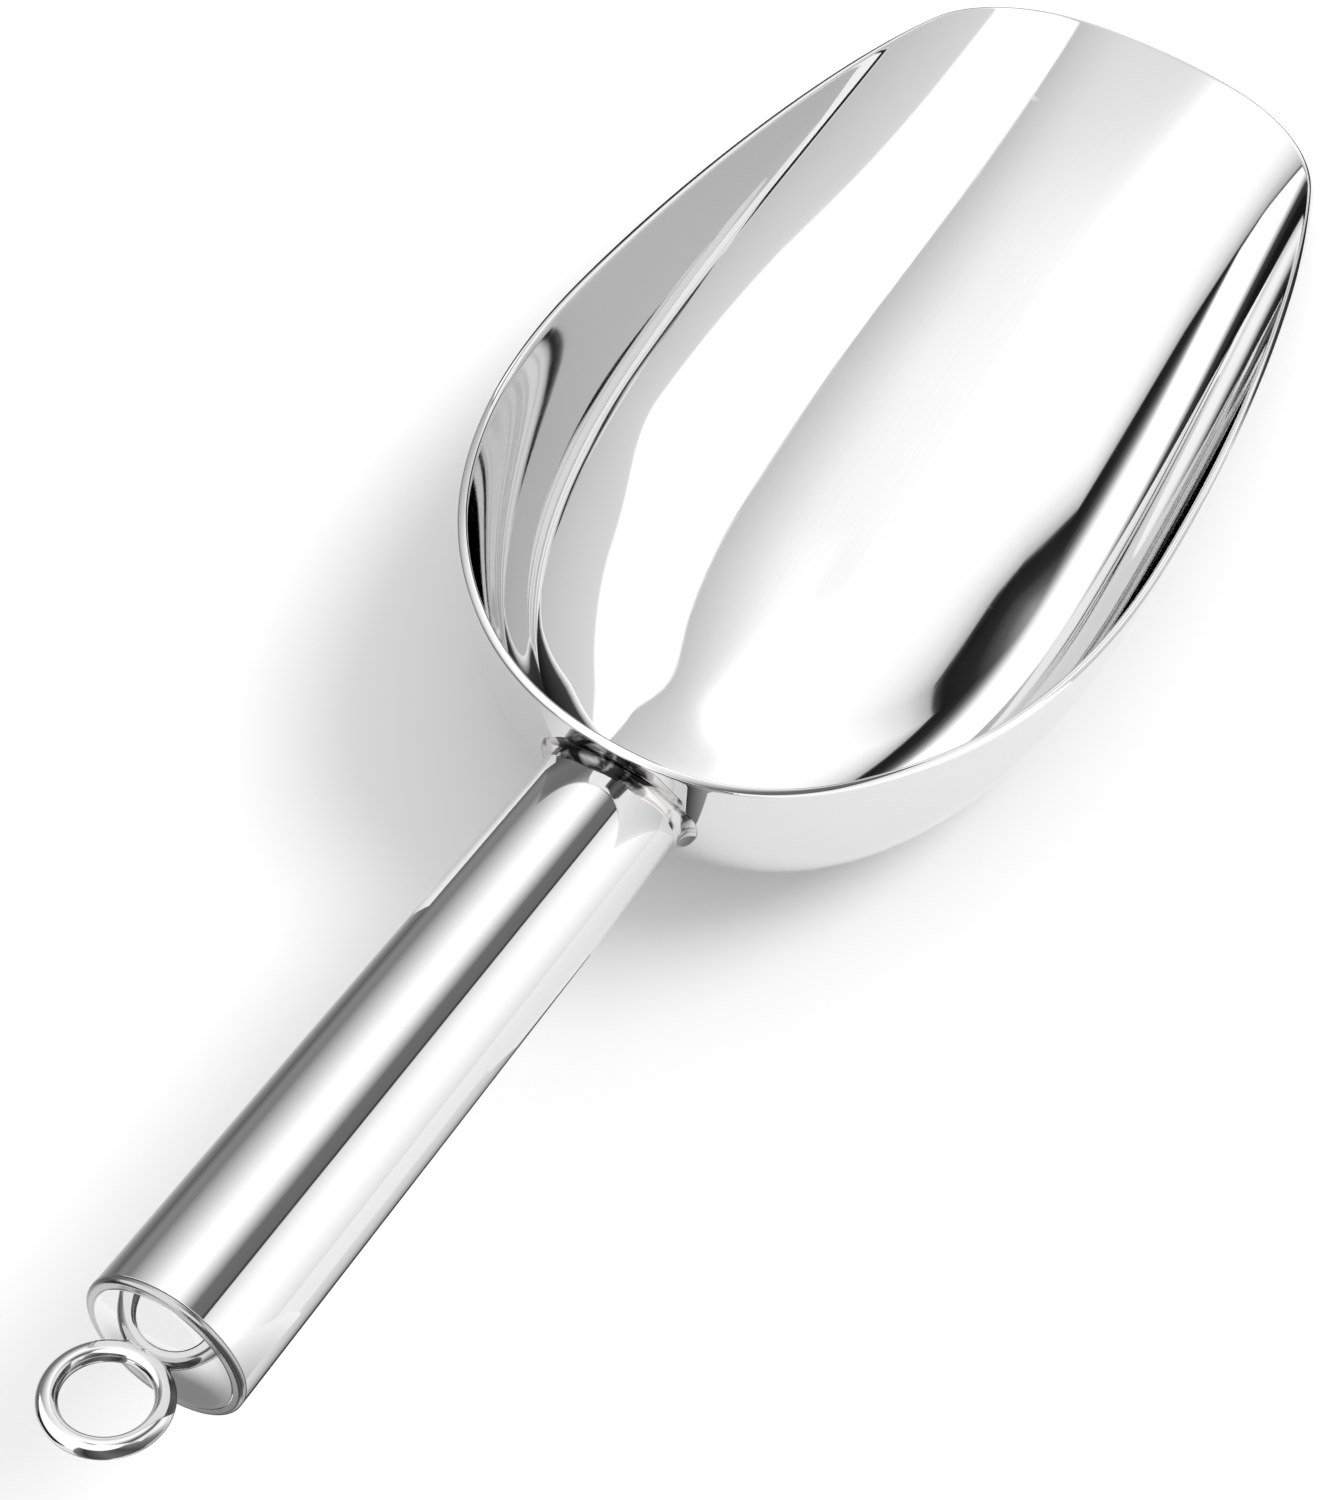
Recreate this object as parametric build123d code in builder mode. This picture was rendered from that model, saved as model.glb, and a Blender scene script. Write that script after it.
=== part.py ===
# Ice scoop: a deep-drawn steel bowl on a closed round tube handle, with a welded hanging ring.
#
# Millimetres.  +X runs from the handle to the pouring lip, +Z is up, and the scoop is
# symmetric about the XZ plane apart from its ring.  The origin lies on the surface that the
# bowl rests on, on the middle line, where the rounded back of the bowl meets its trough.
from build123d import *
from math import cos, pi, radians, sin, tan
import os

os.makedirs("parts", exist_ok=True)

# ---------------------------------------------------------------- driving dimensions
# bowl: the full outer hull, before its rim is cut
SHEET = 1.4  # thickness of the drawn sheet
BACK_REACH = 77.5  # origin to the outside of the back wall
LIP_REACH = 116.0  # origin to the tip of the lip
HALF_WIDTH = 51.0  # half of the outside width, at the origin
SIDE_DRAW_IN = 5.0  # how much each side wall has come in by the lip
DEPTH = 56.0  # floor to the level rim at the back
PLAN_POWER = 2.3  # roundness of the back, seen from above (2 is an ellipse)
SECTION_POWER = 3.3  # roundness of the walls above the flat floor (2 is an ellipse)
FLAT_SHARE = 0.3  # share of the half width that is a flat floor

# rim: level at the back, then one straight fall towards the lip
LEVEL_RUN = 13.5  # how far the level stretch runs forward from the back
LIP_RISE = 1.3  # height that the straight fall would reach at the lip's tip
RIM_BLEND = 60.0  # radius between the level stretch and the fall

# lip, seen from above
LIP_ARC = 110.0  # radius of the pouring edge
LIP_HALF_WIDTH = 33.5  # middle line to each front corner, before it is rounded
LIP_CORNER = 26.0  # radius of the front corners
LIP_SIDE_ANGLE = 17.0  # degrees that the edge beside a corner runs in towards the lip

# handle
TUBE_DIAMETER = 22.0
TUBE_WALL = 0.8
HANDLE_LENGTH = 105.0  # along its axis, from the bowl's back wall to the end cap
HANDLE_RISE = 20.0  # degrees that the handle climbs away from the floor
HANDLE_HEIGHT = 39.0  # height of its axis where it meets the back wall
HANDLE_WELD = 2.2  # radius of the fillet bead round the joint
WELD_SEAM = 0.02  # hairline between the back wall and what is welded to it
CAP_THICKNESS = 2.0
CAP_DOME = 0.4  # how far the cap's middle stands proud of its edge
CAP_BEAD = 0.9  # thickness of the ground bead that closes the tube's end
CAP_BEAD_ROUND = 0.6  # rounding of the bead's outer corner

# hanging ring
RING_RADIUS = 6.6  # to the middle of the wire
RING_WIRE = 2.56  # wire diameter
RING_SINK = 0.45  # how far the wire is fused into the cap
RING_ROLL = -5.0  # degrees that the ring's plane is turned about the handle's axis
RING_LEAN = -7.0  # degrees that it leans away from that axis
RING_ASIDE = 2.1  # weld point, sideways from the cap's centre
RING_DROP = 3.2  # weld point, down the cap's face from its centre
RING_PAD_LENGTH = 6.6  # fused pad that holds the ring
RING_PAD_WIDTH = 3.8
RING_PAD_HEIGHT = 1.0

# ---------------------------------------------------------------- bowl
SLICES = 14  # horizontal slices that carry the hull, from its floor to the level rim
SIDE_STEPS = 4  # points along each side of a slice
BACK_STEPS = 8  # points round each half of its back
OVERRUN = 8.0  # how far the hull runs past its cut edges


def side_point(step, share, inset):
    """A point on the side wall of a slice, counted from the origin to the lip."""
    run = step / SIDE_STEPS
    draw_in = SIDE_DRAW_IN * (3 * run**2 - 2 * run**3)
    return LIP_REACH * run, share * (HALF_WIDTH - inset - draw_in)


def back_point(step, share, inset):
    """A point on the rounded back of a slice, counted from its side to its middle."""
    turn = pi / 2 * (1 - step / BACK_STEPS)
    along = abs(cos(turn)) ** (2 / PLAN_POWER)
    across = abs(sin(turn)) ** (2 / PLAN_POWER)
    return -share * (BACK_REACH - inset) * along, share * (HALF_WIDTH - inset) * across


def slice_outline(level, share, inset):
    """One horizontal slice of the trough, open wall first and closed across its front."""
    lip_side = side_point(SIDE_STEPS, share, inset)
    half = [(LIP_REACH + OVERRUN, lip_side[1])]
    half += [side_point(step, share, inset) for step in range(SIDE_STEPS, -1, -1)]
    half += [back_point(step, share, inset) for step in range(1, BACK_STEPS + 1)]
    half[-1] = (half[-1][0], 0.0)
    other_half = [(x, -y) for x, y in reversed(half[:-1])]
    with BuildSketch(Plane.XY.offset(level)) as outline:
        with BuildLine():
            wall = Spline(*half, *other_half)
            Line(wall @ 1, wall @ 0)
        make_face()
    return outline.sketch


def hull_slices(inset):
    """Slices from the flat floor to above the rim, spaced round the cross-section."""
    slices = []
    for index in range(SLICES):
        turn = pi / 2 * index / (SLICES - 1)
        share = FLAT_SHARE + (1 - FLAT_SHARE) * sin(turn) ** (2 / SECTION_POWER)
        drop = abs(cos(turn)) ** (2 / SECTION_POWER)
        slices.append(slice_outline(DEPTH - (DEPTH - inset) * drop, share, inset))
    slices.append(slice_outline(DEPTH + OVERRUN, 1.0, inset))
    return slices


with BuildPart() as hull:
    loft(hull_slices(0.0))

with BuildPart() as hollow:
    loft(hull_slices(SHEET))

# the side view of the scoop below its rim
rear = -BACK_REACH - OVERRUN
front = LIP_REACH + OVERRUN
level_end = LEVEL_RUN - BACK_REACH
fall = (DEPTH - LIP_RISE) / (LIP_REACH - level_end)
front_rise = DEPTH - fall * (front - level_end)
with BuildSketch(Plane.XZ) as side_view:
    with BuildLine():
        FilletPolyline((rear, DEPTH), (level_end, DEPTH), (front, front_rise), radius=RIM_BLEND)
        Polyline((front, front_rise), (front, -OVERRUN), (rear, -OVERRUN), (rear, DEPTH))
    make_face()

# the plan of the scoop behind its lip
corner_x = LIP_REACH - LIP_ARC + (LIP_ARC**2 - LIP_HALF_WIDTH**2) ** 0.5
rear_half_width = LIP_HALF_WIDTH + (corner_x - rear) * tan(radians(LIP_SIDE_ANGLE))
with BuildSketch() as plan_view:
    with BuildLine():
        Polyline(
            (corner_x, LIP_HALF_WIDTH),
            (rear, rear_half_width),
            (rear, -rear_half_width),
            (corner_x, -LIP_HALF_WIDTH),
        )
        ThreePointArc((corner_x, -LIP_HALF_WIDTH), (LIP_REACH, 0), (corner_x, LIP_HALF_WIDTH))
    make_face()
    fillet(plan_view.vertices().sort_by(Axis.X)[-2:], radius=LIP_CORNER)

with BuildPart() as bowl:
    add(hull.part)
    add(hollow.part, mode=Mode.SUBTRACT)
    extrude(side_view.sketch, amount=2 * HALF_WIDTH, both=True, mode=Mode.INTERSECT)
    extrude(plan_view.sketch, amount=DEPTH + OVERRUN, mode=Mode.INTERSECT)
bowl.part.label = "bowl"

# ---------------------------------------------------------------- handle
wall_rise = (1 - (1 - HANDLE_HEIGHT / DEPTH) ** SECTION_POWER) ** (1 / SECTION_POWER)
wall_share = FLAT_SHARE + (1 - FLAT_SHARE) * wall_rise
wall_point = Vector(-BACK_REACH * wall_share, 0, HANDLE_HEIGHT)
outward = Vector(-cos(radians(HANDLE_RISE)), 0, sin(radians(HANDLE_RISE)))
cap_centre = wall_point + outward * HANDLE_LENGTH
cap_plane = Plane(origin=cap_centre, x_dir=(0, 1, 0), z_dir=outward)
tube_end = cap_plane.offset(-CAP_BEAD)
tube_radius = TUBE_DIAMETER / 2
bore_radius = tube_radius - TUBE_WALL
rod_length = HANDLE_LENGTH + TUBE_DIAMETER

with BuildPart() as seat:
    loft(hull_slices(-WELD_SEAM))

with BuildPart() as handle_tube:
    with BuildSketch(tube_end):
        Circle(tube_radius)
        Circle(bore_radius, mode=Mode.SUBTRACT)
    extrude(amount=-rod_length)
    add(seat.part, mode=Mode.SUBTRACT)
handle_tube.part.label = "handle_tube"

# the fillet bead is what a fillet adds between the back wall and the handle's outside
with BuildPart() as handle_rod:
    with BuildSketch(tube_end):
        Circle(tube_radius)
    extrude(amount=-rod_length)

with BuildPart() as back_wall:
    with BuildSketch(Plane.YZ.offset(rear)):
        with Locations((0, HANDLE_HEIGHT)):
            Rectangle(2 * TUBE_DIAMETER, 2 * TUBE_DIAMETER)
    extrude(amount=2 * TUBE_DIAMETER)
    add(seat.part, mode=Mode.INTERSECT)

with BuildPart() as handle_weld:
    add(back_wall.part)
    add(handle_rod.part)
    fillet(handle_weld.edges(Select.NEW).filter_by(GeomType.BSPLINE), HANDLE_WELD)
    add(back_wall.part, mode=Mode.SUBTRACT)
    add(handle_rod.part, mode=Mode.SUBTRACT)
handle_weld.part.label = "handle_weld"

# ---------------------------------------------------------------- end cap
# half profiles beside the handle's axis: distance from it, then the way out of the cap
cap_section = Plane(origin=cap_centre, x_dir=(0, 1, 0), z_dir=Vector(0, 1, 0).cross(outward))
cap_axis = Axis(cap_centre, outward)
bead_inner = bore_radius - CAP_BEAD / 2

with BuildPart() as end_cap:
    with BuildSketch(cap_section):
        with BuildLine():
            dome_radius = (bead_inner**2 + CAP_DOME**2) / (2 * CAP_DOME)
            RadiusArc((bead_inner, 0), (0, CAP_DOME), -dome_radius)
            Polyline(
                (0, CAP_DOME),
                (0, -CAP_THICKNESS),
                (bore_radius, -CAP_THICKNESS),
                (bore_radius, -CAP_BEAD),
                (bead_inner, -CAP_BEAD),
                (bead_inner, 0),
            )
        make_face()
    revolve(axis=cap_axis)
end_cap.part.label = "end_cap"

with BuildPart() as end_cap_weld:
    with BuildSketch(cap_section) as bead_profile:
        with Locations(((bead_inner + tube_radius) / 2, -CAP_BEAD / 2)):
            Rectangle(tube_radius - bead_inner, CAP_BEAD)
        outer_corner = bead_profile.vertices().sort_by(Axis(cap_centre, (0, 1, 0)))[-2:]
        fillet(outer_corner.sort_by(cap_axis)[-1], CAP_BEAD_ROUND)
    revolve(axis=cap_axis)
end_cap_weld.part.label = "end_cap_weld"

# ---------------------------------------------------------------- hanging ring
up_cap = cap_plane.y_dir if cap_plane.y_dir.Z > 0 else -cap_plane.y_dir
weld_point = cap_centre + Vector(0, RING_ASIDE, 0) - up_cap * RING_DROP
along_cap = Vector(0, 1, 0) * cos(radians(RING_ROLL)) + up_cap * sin(radians(RING_ROLL))
across_cap = outward.cross(along_cap)
ring_out = outward * cos(radians(RING_LEAN)) + across_cap * sin(radians(RING_LEAN))
ring_centre = weld_point + ring_out * (RING_RADIUS + RING_WIRE / 2 - RING_SINK)
wire_plane = Plane(origin=ring_centre + ring_out * RING_RADIUS, x_dir=ring_out, z_dir=along_cap)
pad_plane = Plane(origin=weld_point, x_dir=along_cap, z_dir=outward)

with BuildPart() as hanging_ring:
    with BuildSketch(wire_plane):
        Circle(RING_WIRE / 2)
    revolve(axis=Axis(ring_centre, ring_out.cross(along_cap)))
    add(end_cap.part, mode=Mode.SUBTRACT)
hanging_ring.part.label = "hanging_ring"

with BuildPart() as ring_weld:
    with BuildSketch(pad_plane.offset(-CAP_BEAD)):
        Ellipse(RING_PAD_LENGTH / 2, RING_PAD_WIDTH / 2)
    extrude(amount=CAP_BEAD + RING_PAD_HEIGHT)
    fillet(ring_weld.edges().sort_by(cap_axis)[-1], RING_PAD_HEIGHT * 0.6)
    add(end_cap.part, mode=Mode.SUBTRACT)
    add(hanging_ring.part, mode=Mode.SUBTRACT)
ring_weld.part.label = "ring_weld"

for piece in (bowl, handle_tube, handle_weld, end_cap, end_cap_weld, hanging_ring, ring_weld):
    export_step(piece.part, f"parts/{piece.part.label}.step")
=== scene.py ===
from math import atan, cos, pi, radians, sin, tan

import bmesh
import bpy
import numpy as np
from mathutils import Matrix, Vector, noise


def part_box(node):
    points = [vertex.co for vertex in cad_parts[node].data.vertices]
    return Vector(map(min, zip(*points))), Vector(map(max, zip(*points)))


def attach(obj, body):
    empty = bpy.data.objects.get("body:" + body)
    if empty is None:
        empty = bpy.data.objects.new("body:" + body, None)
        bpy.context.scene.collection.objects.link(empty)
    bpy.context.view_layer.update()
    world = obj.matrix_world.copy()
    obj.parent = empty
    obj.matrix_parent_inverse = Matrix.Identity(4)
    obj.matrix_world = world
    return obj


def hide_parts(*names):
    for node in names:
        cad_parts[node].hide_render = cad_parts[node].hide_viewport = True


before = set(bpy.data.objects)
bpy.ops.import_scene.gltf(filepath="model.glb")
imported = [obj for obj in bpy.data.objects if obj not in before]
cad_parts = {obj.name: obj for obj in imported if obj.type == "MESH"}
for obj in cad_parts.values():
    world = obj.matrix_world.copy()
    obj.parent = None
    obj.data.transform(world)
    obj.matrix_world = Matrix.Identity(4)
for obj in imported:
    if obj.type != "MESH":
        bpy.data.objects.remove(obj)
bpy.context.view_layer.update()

MM = 0.001
HALVINGS = 45  # how often a search for a crossing halves its range

# ---------------------------------------------------------------- sizes, in millimetres
bowl_low, bowl_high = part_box("bowl")
BACK_REACH = -bowl_low.x / MM
LIP_REACH = bowl_high.x / MM
DEPTH = bowl_high.z / MM
SHEET = 1.4
HALF_WIDTH = 51.0
SIDE_DRAW_IN = 4.4
PLAN_POWER = 2.3
SECTION_POWER = 4.0
FLOOR_DISH = 0.0008  # curvature that polishing leaves across the floor, per millimetre

LEVEL_END = 13.5 - BACK_REACH  # where the level rim would meet the straight fall
LIP_RISE = 1.3
RIM_BLEND = 60.0
RIM_ROUND = 0.55  # how far the rim's rounded edge stands above its square shoulders
LIP_RADIUS = 110.0  # the pouring edge, seen from above
LIP_FADE = 12.6  # how far behind the edge the rim starts to turn down to it

TUBE_RADIUS = 11.0
TUBE_WALL = 0.8
HANDLE_LENGTH = 105.0
HANDLE_RISE = radians(20.0)
HANDLE_HEIGHT = 39.0
HANDLE_FOOT = 0.9958  # share of the back reach at which the handle's axis meets the wall
CAP_THICKNESS = 2.0
CAP_DOME = 0.4
CAP_BEAD = 0.9
CAP_BEAD_ROUND = 0.6

WELD_REACH = 2.2  # how far the handle's weld runs along the tube
WELD_WANDER = 0.5  # how much a hand lets that vary
WELD_CLIMB = 0.85  # how far it runs up the wall, as a share of its reach
WELD_SINK = 0.3  # how far its hidden side lies inside the tube

RING_RADIUS = 6.6
WIRE_RADIUS = 1.28
RING_SINK = 0.45
RING_ROLL = radians(-5.0)
RING_LEAN = radians(-7.0)
RING_ASIDE = 2.1
RING_DROP = 3.2
PUDDLE_HALF_LENGTH = 3.3
PUDDLE_HALF_WIDTH = 1.9
PUDDLE_WANDER = 0.12  # how uneven its outline is, as a share of its size
PUDDLE_SINK = 0.3
PUDDLE_RISE = 0.9
PUDDLE_TOE = 0.15  # how far its outer edge is tucked down


# ---------------------------------------------------------------- meshes
def finish_mesh(name, bm):
    """Turns a bmesh in millimetres into a smooth-shaded object in metres."""
    bmesh.ops.remove_doubles(bm, verts=bm.verts, dist=1e-5)
    bmesh.ops.dissolve_degenerate(bm, edges=bm.edges, dist=1e-6)
    bmesh.ops.recalc_face_normals(bm, faces=bm.faces)
    bmesh.ops.scale(bm, vec=(MM, MM, MM), verts=bm.verts)
    mesh = bpy.data.meshes.new(name)
    bm.to_mesh(mesh)
    bm.free()
    mesh.polygons.foreach_set("use_smooth", [True] * len(mesh.polygons))
    piece = bpy.data.objects.new(name, mesh)
    bpy.context.scene.collection.objects.link(piece)
    return piece


def grid_piece(name, grid, close_rows=False):
    """A skin over a grid of points [column][row], closed round its columns."""
    columns, rows = grid.shape[:2]
    bm = bmesh.new()
    verts = [bm.verts.new(point) for point in grid.reshape(-1, 3)]
    for c in range(columns):
        here, there = c * rows, (c + 1) % columns * rows
        for r in range(rows if close_rows else rows - 1):
            up = (r + 1) % rows
            bm.faces.new((verts[here + r], verts[there + r], verts[there + up], verts[here + up]))
    return finish_mesh(name, bm)


def unit(vectors):
    """Vectors scaled to length 1."""
    return vectors / np.linalg.norm(vectors, axis=-1, keepdims=True)


def run_along(points):
    """The distance run from the first point to each point of a line."""
    return np.concatenate([[0], np.cumsum(np.linalg.norm(np.diff(points, axis=0), axis=1))])


def crossing(low, high, is_before):
    """The value between low and high at which is_before turns false."""
    for _ in range(HALVINGS):
        middle = (low + high) / 2
        if is_before(middle):
            low = middle
        else:
            high = middle
    return high


# ---------------------------------------------------------------- bowl
FAN_START = 85.0  # ahead of this the columns fan out from the middle line
COLUMNS = 340  # from the middle of the back to the tip of the lip
ROWS = 100  # from the middle line to the rim
RIM_ROWS = 12
RIM_SQUARENESS = 0.75  # 1 is a round rim and 0 is a square one
TRIALS = 1500  # points tried along a line before it is divided evenly
RIM_TRIALS = 20  # how many of them, back from the rim, show which way the wall climbs
BACK, SIDE, FAN = "back", "side", "fan"


def half_width(x):
    """Outside half width of the full trough at x, ahead of the origin."""
    run = np.clip(x / LIP_REACH, 0, 1)
    return HALF_WIDTH - SIDE_DRAW_IN * (3 * run**2 - 2 * run**3)


def dish(share):
    """How far the floor is dished at a share of the full reach."""
    return FLOOR_DISH * (HALF_WIDTH * share) ** 2 * (1 - share)


def level_at(share):
    """Height of the wall at a share of the full reach."""
    share = np.clip(share, 0, 1)
    return DEPTH * (1 - (1 - share**SECTION_POWER) ** (1 / SECTION_POWER)) + dish(share)


def girth(part):
    """Share and height along the section, from the middle line up to the level rim."""
    turn = pi / 2 * np.clip(part, 0, 1) ** 2
    share = np.sin(turn) ** (2 / SECTION_POWER)
    return share, DEPTH * (1 - np.abs(np.cos(turn)) ** (2 / SECTION_POWER)) + dish(share)


def rim_level(x, y):
    """Height of the rim above a point of the plan."""
    fall = atan((DEPTH - LIP_RISE) / (LIP_REACH - LEVEL_END))
    start = LEVEL_END - RIM_BLEND * tan(fall / 2)
    bend = np.clip(x - start, 0, RIM_BLEND * sin(fall))
    level = DEPTH - RIM_BLEND + np.sqrt(RIM_BLEND**2 - bend**2)
    level = np.where(x > start + bend, level - tan(fall) * (x - start - bend), level)
    centre = LIP_REACH - LIP_RADIUS
    reach = centre + np.hypot(np.maximum(x - centre, 0), y)
    fade = np.clip((reach - LIP_REACH + LIP_FADE) / LIP_FADE, 0, 1)
    return np.maximum(level, 0) * np.sqrt(1 - fade**2)


def column_points(column, part):
    """Points of the outer hull on a column, from the middle line (0) up the wall (1)."""
    kind, place = column
    if kind == FAN:
        reach = part * (HALF_WIDTH + LIP_REACH - FAN_START)
        x = FAN_START + reach * sin(place)
        y = reach * cos(place)
        return np.stack([x, y, level_at(y / half_width(x))], axis=-1)
    share, level = girth(part)
    if kind == SIDE:
        return np.stack([place + 0 * share, share * half_width(place), level], axis=-1)
    x = -share * BACK_REACH * cos(place) ** (2 / PLAN_POWER)
    y = share * HALF_WIDTH * sin(place) ** (2 / PLAN_POWER)
    return np.stack([x, y, level], axis=-1)


def rim_part(column):
    """How far up a column the rim cuts it."""

    def below_rim(part):
        x, y, z = column_points(column, np.array([part]))[0]
        return z < rim_level(x, y)

    return crossing(0.0, 1.0, below_rim)


def column_at(place):
    """The column at a place from 0, the middle of the back, to 3, the tip of the lip."""
    if place < 1:
        return BACK, max(place, 1e-9) * pi / 2
    if place < 2:
        return SIDE, (place - 1) * FAN_START
    return FAN, min(place - 2, 1.0) * pi / 2


def even_columns():
    """Places of the columns, evenly spaced along the rim."""
    trial = np.linspace(0, 3, TRIALS)
    rim = np.array([column_points(c, np.array([rim_part(c)]))[0] for c in map(column_at, trial)])
    run = run_along(rim)
    return np.interp(np.linspace(0, run[-1], COLUMNS + 1), run, trial)


def inward(points):
    """Unit normals of the outer hull that point into the scoop."""
    x, y = points[..., 0], np.abs(points[..., 1])
    width = half_width(np.maximum(x, 0))
    step = 0.01
    taper = (half_width(np.maximum(x, 0) + step) - width) / step
    back_x = np.maximum(-x, 0) / BACK_REACH
    side_y = y / HALF_WIDTH
    back_share = np.maximum((back_x**PLAN_POWER + side_y**PLAN_POWER) ** (1 / PLAN_POWER), 1e-6)
    grow = back_share ** (1 - PLAN_POWER)
    across = np.where(x < 0, grow * side_y ** (PLAN_POWER - 1) / HALF_WIDTH, 1 / width)
    along = np.where(x < 0, -grow * back_x ** (PLAN_POWER - 1) / BACK_REACH, -y * taper / width**2)
    share = np.clip(np.where(x < 0, back_share, y / width), 0, 1)
    flat = (1 - share**SECTION_POWER) ** (1 - 1 / SECTION_POWER)
    dish_slope = FLOOR_DISH * HALF_WIDTH**2 * share * (2 - 3 * share)
    climb = DEPTH * share ** (SECTION_POWER - 1) + flat * dish_slope
    sign = np.where(points[..., 1] < 0, -1.0, 1.0)
    return unit(np.stack([-along * climb, -across * climb * sign, flat], axis=-1))


def bowl_column(column):
    """One column of the closed sheet: outside, over the rounded rim, and back down inside."""
    parts = np.linspace(0, rim_part(column), TRIALS)
    points = column_points(column, parts)
    run = run_along(points)
    stops = np.linspace(0, run[-1] - RIM_ROUND, ROWS + 1)
    outside = column_points(column, np.interp(stops, run, parts))
    normals = inward(outside)
    inside = outside + SHEET * normals
    climb = unit(points[-1] - points[-RIM_TRIALS])
    climb = unit(climb - normals[-1] * (climb @ normals[-1]))
    turn = np.linspace(0, pi, RIM_ROWS + 1)[1:-1, None]
    over = SHEET / 2 * (1 - np.sign(np.cos(turn)) * np.abs(np.cos(turn)) ** RIM_SQUARENESS)
    lift = RIM_ROUND * np.sin(turn) ** RIM_SQUARENESS
    rim = outside[-1] + over * normals[-1] + lift * climb
    return np.concatenate([outside, rim, inside[::-1]])


def build_bowl():
    """The drawn bowl, as one closed sheet of even thickness."""
    half = np.array([bowl_column(column_at(place)) for place in even_columns()])
    other_half = half[-2:0:-1] * np.array([1, -1, 1])
    half[[0, -1], :, 1] = 0
    return grid_piece("bowl_shell", np.concatenate([half, other_half]))


# ---------------------------------------------------------------- handle
TURNS = 224  # columns round the handle
outward = np.array([-cos(HANDLE_RISE), 0, sin(HANDLE_RISE)])
aside = np.array([0.0, 1.0, 0.0])
up_cap = np.array([sin(HANDLE_RISE), 0, cos(HANDLE_RISE)])
wall_point = np.array([-BACK_REACH * HANDLE_FOOT, 0, HANDLE_HEIGHT])
cap_centre = wall_point + outward * HANDLE_LENGTH


def round_handle(turn, radius, out):
    """A point round the handle's axis, out past the end cap's face by a distance."""
    return cap_centre + outward * out + radius * (aside * cos(turn) + up_cap * sin(turn))


def hull_gap(point):
    """Positive outside the bowl's back wall, negative inside it."""
    back, side = abs(point[0] / BACK_REACH), abs(point[1] / HALF_WIDTH)
    share = (back**PLAN_POWER + side**PLAN_POWER) ** (1 / PLAN_POWER)
    return share - 1 if share >= 1 or point[2] >= DEPTH else level_at(share) - point[2]


def wall_out(turn, radius):
    """Where a line along the handle meets the back wall, as a distance past the cap's face."""
    reach = 2.5 * TUBE_RADIUS

    def inside_hull(out):
        return hull_gap(round_handle(turn, radius, out)) < 0

    return crossing(-HANDLE_LENGTH - reach, -HANDLE_LENGTH + reach, inside_hull)


# shares of the tube's length at which it has a row; the close ones keep its shading even at the ends
TUBE_ROWS = np.concatenate(([0, 0.0008], np.linspace(0.01, 0.99, 22), [0.9992, 1]))


def build_tube():
    """The handle's tube, coped to the back wall, with its bore."""
    grid = []
    for turn in np.linspace(0, 2 * pi, TURNS, endpoint=False):
        column = []
        for radius, rows in ((TUBE_RADIUS, TUBE_ROWS), (TUBE_RADIUS - TUBE_WALL, TUBE_ROWS[::-1])):
            wall = wall_out(turn, radius)
            for share in rows:
                column.append(round_handle(turn, radius, -CAP_BEAD * (1 - share) + wall * share))
        grid.append(column)
    return grid_piece("tube", np.array(grid), close_rows=True)


def build_handle_weld():
    """The polished fillet bead round the joint, its width a little uneven as a hand leaves it."""

    def on_wall(turn, radius):
        return round_handle(turn, radius, wall_out(turn, radius))

    grid = []
    for turn in np.linspace(0, 2 * pi, TURNS, endpoint=False):
        reach = WELD_REACH + WELD_WANDER * noise.noise(Vector((3 * cos(turn), 3 * sin(turn), 0.3)))
        climb = WELD_CLIMB * reach
        corner = on_wall(turn, TUBE_RADIUS)
        tube_toe = corner + outward * reach
        wall_toe = on_wall(turn, TUBE_RADIUS + climb)
        column = []
        for part in np.linspace(0, 1, 13):
            column.append((1 - part) ** 2 * tube_toe + 2 * part * (1 - part) * corner + part**2 * wall_toe)
        for part in np.linspace(0, 1, 5)[1:]:
            column.append(on_wall(turn, TUBE_RADIUS + climb * (1 - part) - WELD_SINK * part))
        column.append(round_handle(turn, TUBE_RADIUS - WELD_SINK, wall_out(turn, TUBE_RADIUS) + reach))
        grid.append(column)
    return grid_piece("joint_weld", np.array(grid), close_rows=True)


def revolve_piece(name, profile):
    """A solid turned round the handle's axis from a closed profile of (radius, out) points."""
    grid = []
    for turn in np.linspace(0, 2 * pi, TURNS, endpoint=False):
        grid.append([round_handle(turn, radius, out) for radius, out in profile])
    return grid_piece(name, np.array(grid), close_rows=True)


BEAD_INNER = TUBE_RADIUS - TUBE_WALL - CAP_BEAD / 2
CREASE = 0.03  # keeps the shading flat up to a sharp corner


def build_cap():
    """The closing disc, slightly domed, and level where it meets its bead."""
    bore = TUBE_RADIUS - TUBE_WALL
    profile = [(BEAD_INNER * share, CAP_DOME * (1 - share**2) ** 2) for share in np.linspace(0, 1, 40)]
    profile += [(BEAD_INNER, -CREASE), (BEAD_INNER, -CAP_BEAD), (bore, -CAP_BEAD)]
    profile += [(bore, -CAP_THICKNESS), (0, -CAP_THICKNESS)]
    return revolve_piece("cap_disc", profile)


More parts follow.
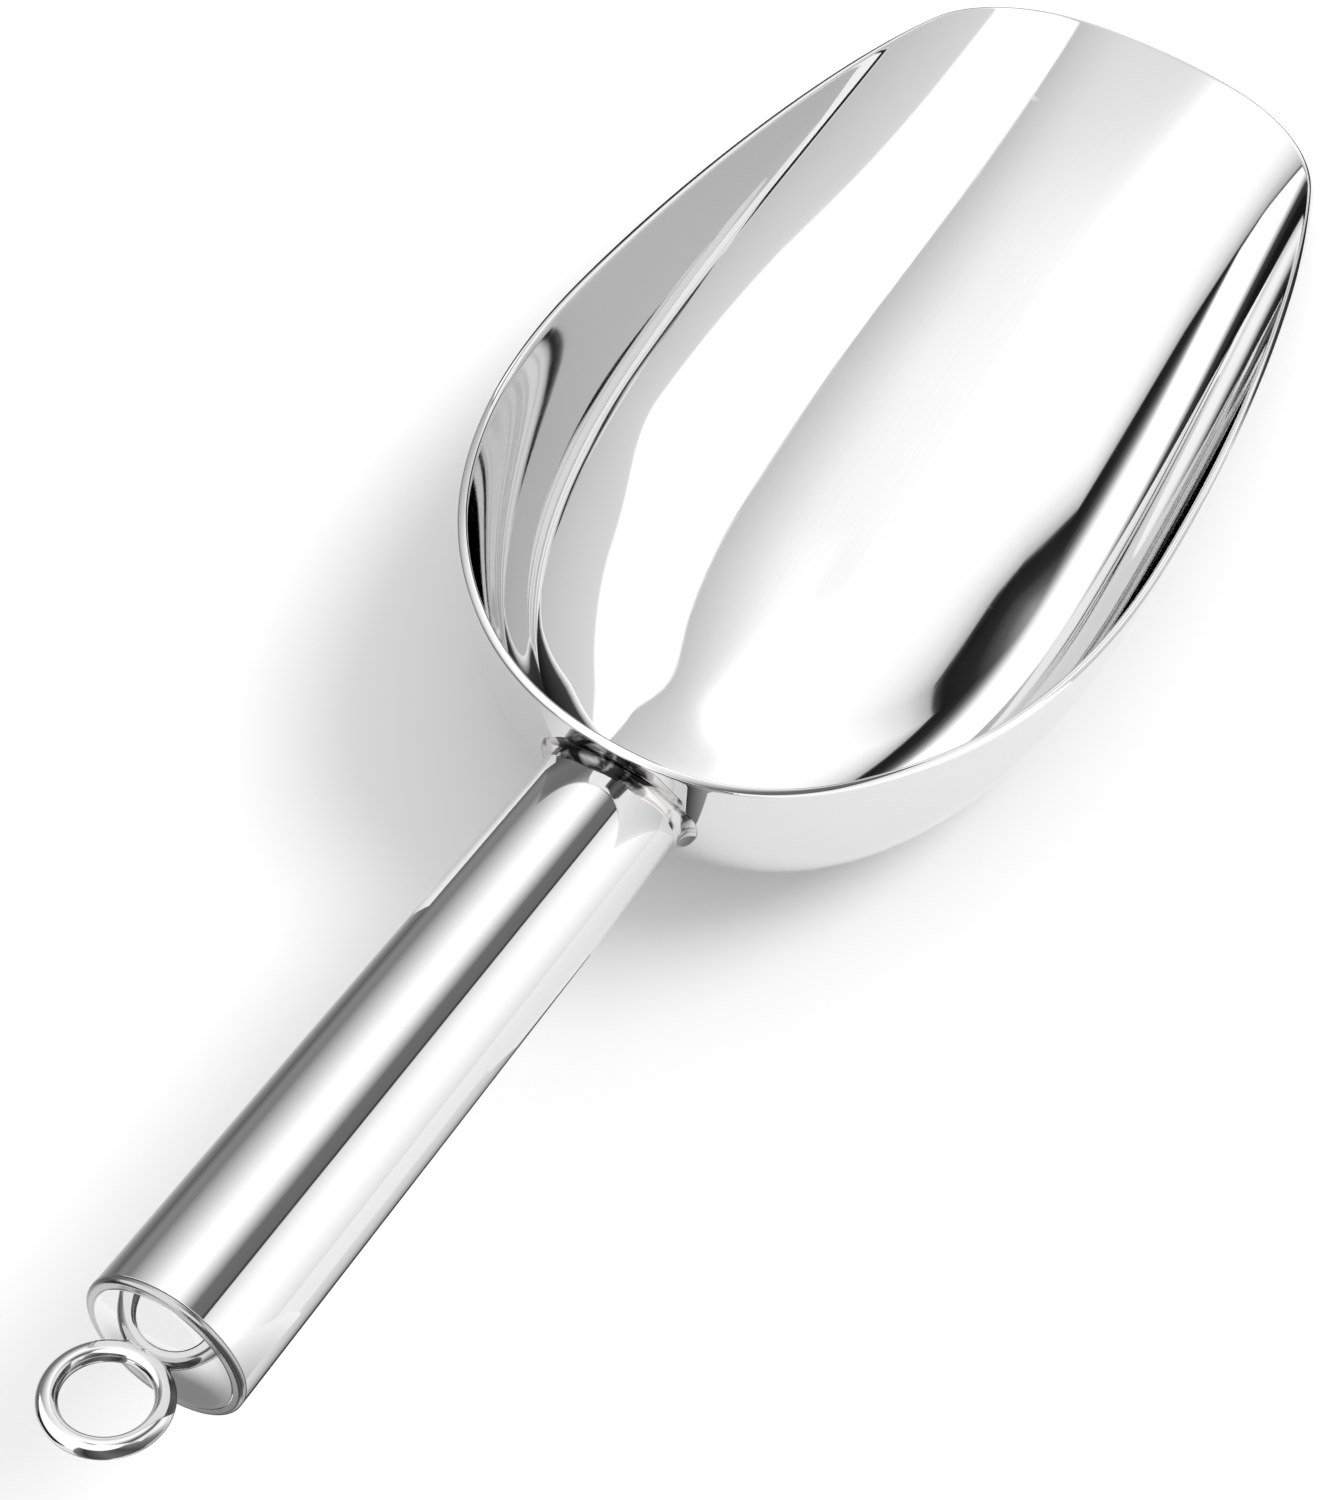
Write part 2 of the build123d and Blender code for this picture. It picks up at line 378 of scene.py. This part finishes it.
def build_cap_bead():
    """The ground bead that closes the tube's end, rounded at its outer corner."""
    level = TUBE_RADIUS - CAP_BEAD_ROUND - BEAD_INNER
    profile = [(BEAD_INNER, -CAP_BEAD), (BEAD_INNER, -CREASE), (BEAD_INNER, 0), (BEAD_INNER + CREASE, 0)]
    profile += [(BEAD_INNER + part * level, 0) for part in (0.4, 0.8)]
    for turn in np.linspace(0, pi / 2, 12):
        radius = TUBE_RADIUS - CAP_BEAD_ROUND * (1 - sin(turn))
        profile.append((radius, -CAP_BEAD_ROUND * (1 - cos(turn))))
    profile.append((TUBE_RADIUS, -CAP_BEAD))
    return revolve_piece("cap_bead", profile)


# ---------------------------------------------------------------- hanging ring
weld_point = cap_centre + aside * RING_ASIDE - up_cap * RING_DROP
along_cap = aside * cos(RING_ROLL) + up_cap * sin(RING_ROLL)
across_cap = np.cross(outward, along_cap)
ring_out = outward * cos(RING_LEAN) + across_cap * sin(RING_LEAN)
ring_side = np.cross(ring_out, along_cap)
ring_centre = weld_point + ring_out * (RING_RADIUS + WIRE_RADIUS - RING_SINK)


def build_ring():
    """The closed wire ring."""
    grid = []
    for turn in np.linspace(0, 2 * pi, 200, endpoint=False):
        spoke = along_cap * cos(turn) + ring_out * sin(turn)
        loop = []
        for roll in np.linspace(0, 2 * pi, 40, endpoint=False):
            offset = spoke * cos(roll) + ring_side * sin(roll)
            loop.append(ring_centre + spoke * RING_RADIUS + offset * WIRE_RADIUS)
        grid.append(loop)
    return grid_piece("wire_ring", np.array(grid), close_rows=True)


def build_ring_weld():
    """The small puddle of weld that holds the ring."""
    grid = []
    for turn in np.linspace(0, 2 * pi, 96, endpoint=False):
        reach = 1 + PUDDLE_WANDER * noise.noise(Vector((2 * cos(turn), 2 * sin(turn), 4.1)))
        foot = along_cap * cos(turn) * PUDDLE_HALF_LENGTH + across_cap * sin(turn) * PUDDLE_HALF_WIDTH
        column = [weld_point - PUDDLE_SINK * outward]
        for part in np.linspace(1, 0, 20):
            lift = PUDDLE_SINK + PUDDLE_RISE * (1 - part**2) ** 2 - PUDDLE_TOE * (part == 1)
            column.append(weld_point + foot * reach * part + outward * lift)
        grid.append(column)
    return grid_piece("ring_puddle", np.array(grid))


# ---------------------------------------------------------------- materials
def new_material(name):
    """A node material with its principled shader."""
    material = bpy.data.materials.new(name)
    material.use_nodes = True
    return material, material.node_tree, material.node_tree.nodes["Principled BSDF"]


def steel_nodes(name, colour, roughness, scratch_depth, wave_depth, dark_reflection_patches=None):
    """Steel with a hand-polished surface; depths are in metres.

    Hairlines and waves go into the bump.  Hairlines, scuffs, haze and worn edges go into the
    roughness.  The last argument, a scale, the two ends of a fade and a colour, paints dark
    reflections into the colour in patches.
    """
    material, tree, shader = new_material(name)
    nodes, links = tree.nodes, tree.links

    def add(kind, **values):
        node = nodes.new(kind)
        for key, value in values.items():
            if hasattr(node, key):
                setattr(node, key, value)
            else:
                node.inputs[key].default_value = value
        return node

    def blend(value, low, high, out_low, out_high):
        limits = {"From Min": low, "From Max": high, "To Min": out_low, "To Max": out_high}
        node = add("ShaderNodeMapRange", **limits)
        links.new(value, node.inputs["Value"])
        return node.outputs["Result"]

    place = add("ShaderNodeTexCoord").outputs["Object"]
    stretch = add("ShaderNodeMapping")
    stretch.inputs["Scale"].default_value = (60, 1400, 1400)
    links.new(place, stretch.inputs["Vector"])
    hairline = add("ShaderNodeTexNoise", Scale=1.0, Detail=4.0, Roughness=0.6)
    links.new(stretch.outputs["Vector"], hairline.inputs["Vector"])
    cross = add("ShaderNodeMapping")
    cross.inputs["Scale"].default_value = (1700, 90, 900)
    cross.inputs["Rotation"].default_value = (0.2, 0.1, 0.6)
    links.new(place, cross.inputs["Vector"])
    scuff = add("ShaderNodeTexNoise", Scale=1.0, Detail=2.0)
    links.new(cross.outputs["Vector"], scuff.inputs["Vector"])
    cloud = add("ShaderNodeTexNoise", Scale=45.0, Detail=3.0)
    links.new(place, cloud.inputs["Vector"])
    wave = add("ShaderNodeTexNoise", Scale=26.0, Detail=0.5)
    links.new(place, wave.inputs["Vector"])

    edge = add("ShaderNodeNewGeometry").outputs["Pointiness"]
    wear = blend(edge, 0.52, 0.6, 0.0, 0.05)
    lines = blend(hairline.outputs["Fac"], 0.55, 0.8, 0.0, 0.035)
    marks = blend(scuff.outputs["Fac"], 0.68, 0.8, 0.0, 0.03)
    haze = blend(cloud.outputs["Fac"], 0.3, 0.7, roughness * 0.6, roughness * 1.4)
    total = haze
    for extra in (lines, marks, wear):
        step = add("ShaderNodeMath", operation="ADD")
        links.new(total, step.inputs[0])
        links.new(extra, step.inputs[1])
        total = step.outputs[0]
    links.new(total, shader.inputs["Roughness"])

    tint = add("ShaderNodeMixRGB")
    tint.inputs["Color1"].default_value = (*[part * 0.97 for part in colour], 1)
    tint.inputs["Color2"].default_value = (*colour, 1)
    links.new(cloud.outputs["Fac"], tint.inputs["Fac"])
    shade = tint.outputs["Color"]
    # painted dark reflections, darkening random patches of the colour
    if dark_reflection_patches:
        blot = add("ShaderNodeTexNoise", Scale=dark_reflection_patches[0], Detail=4.0, Distortion=0.6)
        links.new(place, blot.inputs["Vector"])
        dark = add("ShaderNodeMixRGB")
        links.new(blend(blot.outputs["Fac"], dark_reflection_patches[1], dark_reflection_patches[2], 0.0, 1.0), dark.inputs["Fac"])
        links.new(shade, dark.inputs["Color1"])
        dark.inputs["Color2"].default_value = (*dark_reflection_patches[3], 1)
        shade = dark.outputs["Color"]
    links.new(shade, shader.inputs["Base Color"])
    shader.inputs["Metallic"].default_value = 1.0

    first = add("ShaderNodeBump", Strength=1.0, Distance=scratch_depth)
    links.new(hairline.outputs["Fac"], first.inputs["Height"])
    second = add("ShaderNodeBump", Strength=1.0, Distance=wave_depth)
    links.new(wave.outputs["Fac"], second.inputs["Height"])
    links.new(first.outputs["Normal"], second.inputs["Normal"])
    links.new(second.outputs["Normal"], shader.inputs["Normal"])
    return material


def dress(piece, material, slot, *nodes):
    """Gives a piece its material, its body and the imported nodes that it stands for."""
    piece.data.materials.append(material)
    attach(piece, "root")
    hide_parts(*nodes)


# painted dark reflections on the weld: a noise scale, the two ends of its fade and a near-black colour
DARK_REFLECTION_PATCHES = (130.0, 0.48, 0.55, (0.03, 0.03, 0.032))
steel = steel_nodes("polished_steel", (0.73, 0.73, 0.73), 0.03, 6e-7, 2e-5)
wire_steel = steel_nodes("wire_steel", (0.66, 0.66, 0.66), 0.07, 2e-6, 3e-5)
weld_steel = steel_nodes("weld_steel", (0.66, 0.65, 0.64), 0.1, 3e-6, 2e-4, DARK_REFLECTION_PATCHES)
# the end cap's bead: its higher roughness is the ground finish, and its dark base colour is painted shade,
# the thin dark line along the cap's edge
ground_steel_painted_dark = steel_nodes("ground_steel_painted_dark", (0.45, 0.45, 0.45), 0.16, 3e-6, 3e-5)

dress(build_bowl(), steel, "polished_steel", "bowl")
dress(build_tube(), steel, "polished_steel", "handle_tube")
dress(build_handle_weld(), weld_steel, "weld_steel", "handle_weld")
dress(build_cap(), steel, "polished_steel", "end_cap")
dress(build_cap_bead(), ground_steel_painted_dark, "polished_steel", "end_cap_weld")
dress(build_ring(), wire_steel, "wire_steel", "hanging_ring")
dress(build_ring_weld(), weld_steel, "weld_steel", "ring_weld")

# ---------------------------------------------------------------- stage
STEEL = 0.72  # reflectance of the steel
WHITE = 1.55  # strength of the tent
GAMMA = 2.2  # of the display that levels are stated for
FULL_GLOW = 1.08  # colour of a card at level 1, just past the display's white
FLOOR = 3000.0
FLOOR_GAP = 0.2
HORIZON = 2500.0
FAR = 6000.0  # distance of the far cards from the bowl
FAR_HEIGHT = 40.0  # height of the point that they stand round
SOFTENING = 2.2  # how far to each side a table's corners are rounded
TUNNEL = 65.0  # distance of the handle's cards from its axis
TUNNEL_LIFT = 0.7  # how far they stay above the floor's level
FLAG_PLACE = 300.0
RING_PLACE = -192.0


def stage_grid(name, rows, across=False):
    """A sheet through rows of points in millimetres.

    Its map runs from 0 at the first row to 1 at the last, or along each row where across is set.
    """
    rows = np.asarray(rows)
    count, length = rows.shape[:2]
    faces = []
    for row in range(count - 1):
        for place in range(length - 1):
            corner = row * length + place
            faces.append((corner, corner + length, corner + length + 1, corner + 1))
    mesh = bpy.data.meshes.new(name)
    mesh.from_pydata((rows.reshape(-1, 3) * MM).tolist(), [], faces)
    shares = np.linspace(0, 1, length if across else count)
    layer = mesh.uv_layers.new(name="share")
    for loop in mesh.loops:
        row, place = divmod(loop.vertex_index, length)
        layer.data[loop.index].uv = (shares[place if across else row], 0.5)
    sheet = bpy.data.objects.new(name, mesh)
    bpy.context.scene.collection.objects.link(sheet)
    return sheet


def card(name, rows, stops, across=False):
    """A glowing card that only reflections see.

    Stops run (share, level).  A level is a grey as it is displayed after one reflection.
    """
    sheet = stage_grid(name, rows, across)
    sheet.visible_camera = False
    sheet.visible_diffuse = False
    sheet.visible_shadow = False
    sheet.visible_transmission = False
    material = bpy.data.materials.new(name)
    material.use_nodes = True
    tree = material.node_tree
    tree.nodes.clear()
    place = tree.nodes.new("ShaderNodeUVMap")
    place.uv_map = "share"
    split = tree.nodes.new("ShaderNodeSeparateXYZ")
    ramp = tree.nodes.new("ShaderNodeValToRGB")
    glow = tree.nodes.new("ShaderNodeEmission")
    output = tree.nodes.new("ShaderNodeOutputMaterial")
    tree.links.new(place.outputs["UV"], split.inputs[0])
    tree.links.new(split.outputs["X"], ramp.inputs["Fac"])
    tree.links.new(ramp.outputs["Color"], glow.inputs["Color"])
    tree.links.new(glow.outputs["Emission"], output.inputs["Surface"])
    glow.inputs["Strength"].default_value = 1 / STEEL
    elements = ramp.color_ramp.elements
    while len(elements) < len(stops):
        elements.new(1.0)
    for element, (share, level) in zip(elements, stops):
        element.position = share
        shade = level**GAMMA if level < 1 else FULL_GLOW
        element.color = (shade, shade, shade, 1)
    sheet.data.materials.append(material)


def eased(place, table):
    """Reads a table of pairs, rounding its corners."""
    around = np.linspace(place - SOFTENING, place + SOFTENING, 21)
    return float(np.mean(np.interp(around, *zip(*table))))


def far_patch(left, right):
    """A far sheet between two edges, each a table of (rise, swing) in degrees off the bowl."""
    rows = []
    for part in np.linspace(0, 1, 61):
        row = []
        for rise in np.linspace(15, 80, 66):
            swing = radians(eased(rise, left) * (1 - part) + eased(rise, right) * part)
            level = FAR * cos(radians(rise))
            height = FAR_HEIGHT + level * cos(swing)
            row.append((FAR * sin(radians(rise)), level * sin(swing), height))
        rows.append(row)
    return rows


def front_flag():
    """A tall sheet in front of the lip.

    A table says where its dark edge lies at each height.  The sheet is grey for a while to the
    right of the edge, and dark to the left of it, where it fades out over its width.
    """
    split = 0.4  # share of the sheet at its dark edge
    grey_side = 90
    table = (  # height, place of the edge, width of the dark side
        (0, 190, 3.75), (155, 196, 3.75), (185, 202, 10), (215, 210, 56.25), (254, 219, 115),
        (372, 275, 175), (455, 238, 187.5), (600, 225, 187.5), (1500, 190, 187.5),
    )
    rows = []
    for part in np.linspace(0, 1, 41):
        row = []
        for height, edge, width in table:
            if part < split:
                offset = (part / split - 1) * grey_side
            else:
                offset = (part - split) / (1 - split) * width
            row.append((FLAG_PLACE, edge + offset, height))
        rows.append(row)
    return rows


def horizon():
    """The dark that lies round the bowl: floor beyond an oval, and a low horizon that ends it.

    It starts further out on the right and behind.  It is lower on the right and higher in front.
    """
    length, width, hem = 119, 76, 12
    rows = []
    for degrees in np.linspace(-165, 165, 133):
        turn = radians(degrees)
        left_side = eased(degrees, ((-40, 0), (-15, 1)))
        front = 500 * eased(abs(degrees - 10), ((25, 1), (40, 0)))
        spread = 1 + 4 * (1 - left_side) + 2 * max(0, -cos(turn))
        start = np.hypot(length * cos(turn), width * sin(turn)) * spread
        profile = (  # distance from the origin, height
            (start, 0.2),
            (start + hem, 0.2),
            (HORIZON, 0.8),
            (HORIZON, 40 + 210 * left_side + front),
            (HORIZON, 80 + 420 * left_side + front),
        )
        rows.append([(reach * cos(turn), reach * sin(turn), height) for reach, height in profile])
    return rows


def ring_screen():
    """A low curved sheet round the outer side of the hanging ring."""
    radius = 60
    rows = []
    for turn in np.radians(np.linspace(-185, -50, 41)):
        x, y = RING_PLACE + radius * cos(turn), radius * sin(turn)
        rows.append([(x, y, height) for height in (3, 60, 170)])
    return rows


def cap_patch():
    """A glowing card on the floor that the end cap looks down on; its dark end is painted shadow, the
    floor's shade as the cap reflects it.
    """
    near = np.array([-215.0, -5.0, 0.5])
    run = np.array([-42.0, 42.0, 0.0])
    half = np.array([26.0, 26.0, 0.0])
    return [[near + run * along + half * side for side in (-1, 1)] for along in (0, 1)]


def handle_card(name, stops, start, end):
    """A sheet round the handle, from the first to the last angle of its stops.

    Stops run (angle about the handle's axis, level).  Start and end are tables of the place along
    the handle against the angle.
    """
    first, last = stops[0][0], stops[-1][0]
    rows = []
    for angle in np.linspace(first, last, 161):
        away = up_cap * cos(radians(angle)) + aside * sin(radians(angle))
        near, far = (np.interp(angle, *zip(*table)) for table in (start, end))
        row = []
        for along in np.linspace(near, far, 31):
            base = wall_point + outward * along
            reach = min(TUNNEL, (base[2] - TUNNEL_LIFT) / -away[2]) if away[2] < 0 else TUNNEL
            row.append(base + away * reach)
        rows.append(row)
    card(name, rows, [((angle - first) / (last - first), level) for angle, level in stops])


world = bpy.data.worlds.new("tent")
world.use_nodes = True
world.node_tree.nodes["Background"].inputs["Color"].default_value = (1, 1, 1, 1)
world.node_tree.nodes["Background"].inputs["Strength"].default_value = WHITE
bpy.context.scene.world = world

paper, _, paper_shader = new_material("paper")
paper_shader.inputs["Base Color"].default_value = (0.54, 0.54, 0.54, 1)
paper_shader.inputs["Roughness"].default_value = 0.9
floor = stage_grid("floor", [[(x, y, -FLOOR_GAP) for y in (-FLOOR, FLOOR)] for x in (-FLOOR, FLOOR)])
floor.data.materials.append(paper)

# a grey wall far to the left of the bowl
WALL_END = ((0, -120), (90, -120))
WALL_EDGE = ((20, -58), (28.2, -55), (31.5, -38), (34, -28), (38, -25), (45, -19), (56, -12), (80, -9))
card("left_wall", far_patch(WALL_END, WALL_EDGE), ((0.0, 0.7), (0.9, 0.82), (0.98, 0.84), (1.0, 1.0)))

# a grey panel overhead, whose crisp edge runs along the scoop
PANEL_EDGE = ((20, 8), (28.8, 7.8), (30.1, 7), (34.5, 7.9), (37.7, 8.2), (42, 7.2), (50, 4), (80, 0))
PANEL_END = ((20, 12.5), (30, 12.5), (37.8, 12.6), (42, 14.5), (48, 19), (56, 24), (80, 28))
PANEL_STOPS = (
    (0.0, 0.74), (0.3, 0.79), (0.5, 0.82), (0.65, 0.855),
    (0.78, 0.89), (0.87, 0.935), (0.94, 0.98), (1.0, 1.0),
)
card("long_panel", far_patch(PANEL_EDGE, PANEL_END), PANEL_STOPS)

FLAG_STOPS = (
    (0.0, 1.0), (0.15, 0.97), (0.28, 0.87), (0.385, 0.68), (0.4, 0.25), (0.43, 0.13),
    (0.55, 0.18), (0.65, 0.35), (0.75, 0.6), (0.86, 0.86), (1.0, 1.0),
)
card("front_flag", front_flag(), FLAG_STOPS)

HORIZON_STOPS = ((0.0, 0.9), (0.25, 0.12), (0.5, 0.12), (0.75, 0.25), (1.0, 1.0))
card("horizon", horizon(), HORIZON_STOPS, across=True)

SCREEN_STOPS = ((0.0, 0.5), (0.12, 0.22), (0.35, 0.42), (0.6, 0.3), (0.85, 0.5), (1.0, 0.95))
card("ring_screen", ring_screen(), SCREEN_STOPS)

# painted shadow: dark towards the bowl, light further out
PATCH_STOPS = ((0.0, 0.45), (0.55, 0.5), (0.7, 0.74), (0.85, 0.9), (1.0, 0.95))
card("cap_patch", cap_patch(), PATCH_STOPS)

# a tunnel of cards round the handle: angles run from its right side over the top and its left
# side to the floor below it
UPPER = (
    (-100, 0.87), (-65, 1.0), (-45, 0.99), (-30, 0.86), (-29, 0.08), (-26, 0.4), (-13, 0.42),
    (0, 0.88), (8, 1.0), (25, 1.0), (50, 0.79), (75, 0.48), (88, 0.5), (100, 0.37),
)
LOWER = (
    (100, 0.37), (115, 0.5), (135, 0.7), (157, 0.91), (171, 0.56), (186, 0.08), (192, 0.1),
    (200, 0.53), (215, 0.75), (232, 0.85),
)
handle_card("handle_tent", UPPER, ((0, -48),), ((90, 112), (100, 135)))
handle_card("handle_floor", LOWER, ((195, -3), (204, 14)), ((147, 135), (155, 112)))

# a soft light from the upper right, for the floor's shadow; reflections don't see it
lamp_data = bpy.data.lights.new("side_light", "AREA")
lamp_data.shape = "DISK"
lamp_data.size = 1.2
lamp_data.energy = 66.0
lamp = bpy.data.objects.new("side_light", lamp_data)
lamp.location = (0.9, -1.2, 2.6)
lamp.rotation_euler = (Vector((0, 0, 0)) - lamp.location).to_track_quat("-Z", "Y").to_euler()
lamp.visible_glossy = False
bpy.context.scene.collection.objects.link(lamp)

# ---------------------------------------------------------------- camera
CAMERA_PLACE = Vector((-197.9, -77.5, 363.9)) * MM
CAMERA_LOOK = Vector((0.3644, 0.2107, -0.9071))
CAMERA_UP = Vector((0.779, 0.4648, 0.4209))

camera_data = bpy.data.cameras.new("camera")
camera_data.lens = 60.3
camera_data.sensor_width = 36.0
camera = bpy.data.objects.new("camera", camera_data)
look = CAMERA_LOOK.normalized()
right = look.cross(CAMERA_UP).normalized()
axes = Matrix((right, right.cross(look), -look)).transposed()
camera.matrix_world = Matrix.Translation(CAMERA_PLACE) @ axes.to_4x4()
bpy.context.scene.collection.objects.link(camera)
bpy.context.scene.camera = camera
bpy.context.scene.view_settings.view_transform = "Standard"
